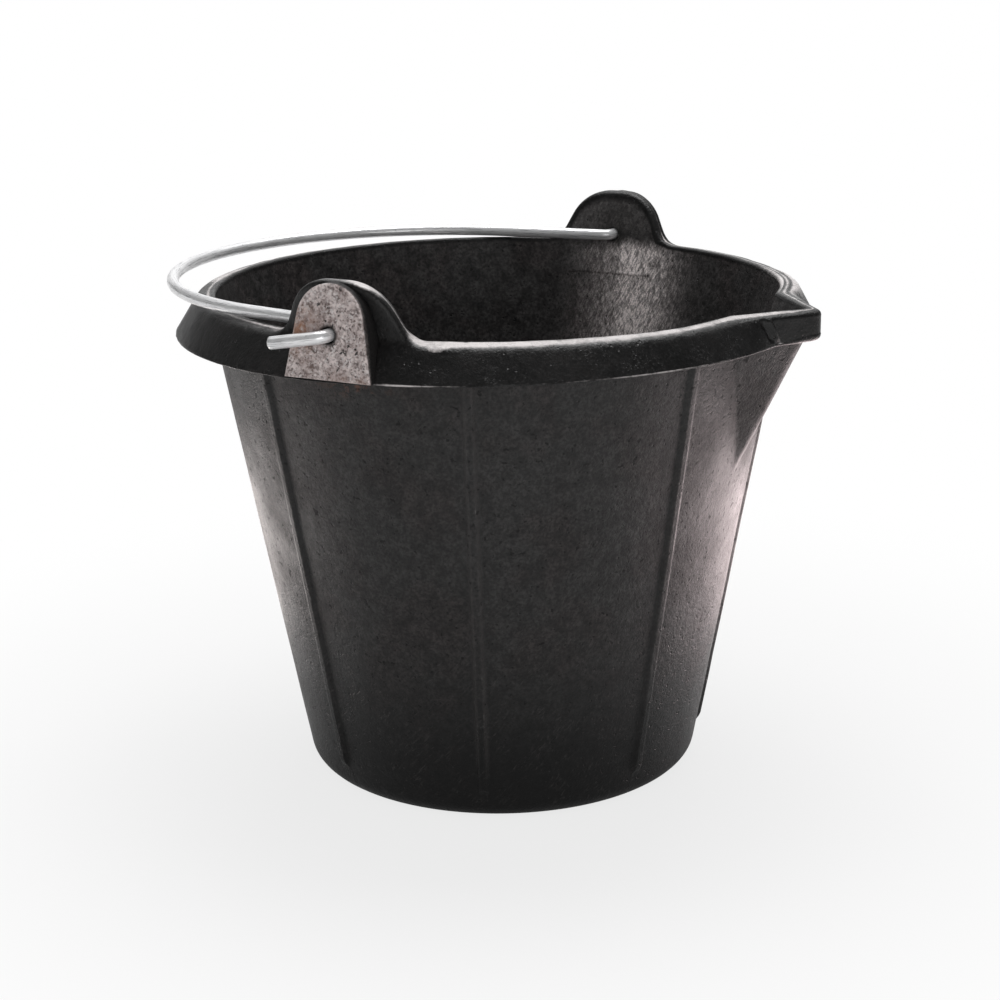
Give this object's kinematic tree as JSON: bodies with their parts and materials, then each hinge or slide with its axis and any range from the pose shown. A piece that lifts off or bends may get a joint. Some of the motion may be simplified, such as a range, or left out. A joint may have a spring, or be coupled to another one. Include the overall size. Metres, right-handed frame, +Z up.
{
  "type": "builders bucket",
  "caption": "Tapered black rubber bucket with a pouring spout, a leaning rim band, raised ears with bonded pads and a swinging wire bail.",
  "frame": {"origin": "middle of the base, on the floor", "axes": "+Z up, +X towards the pouring spout, the bail's hinge along Y; the front ear is at -Y and the bail rests towards -X"},
  "size_m": [0.3455, 0.3342, 0.2765],
  "materials": {
    "tub_rubber": "moulded recycled rubber, satin, scuffed along its edges",
    "pad_rubber": "rough crumb rubber, mottled grey and brown",
    "bail_wire": "galvanised, drawn wire"
  },
  "bodies": {
    "bucket": {"tub": "tub_rubber", "front_ear_pad": "pad_rubber", "rear_ear_pad": "pad_rubber"},
    "bail": {"bail": "bail_wire"}
  },
  "joints": [
    {"name": "bail_hinge", "type": "hinge", "parent": "bucket", "child": "bail", "pos_m": [0, 0, 0.2533], "axis": [0, 1, 0], "range_deg": [0, 180]}
  ]
}
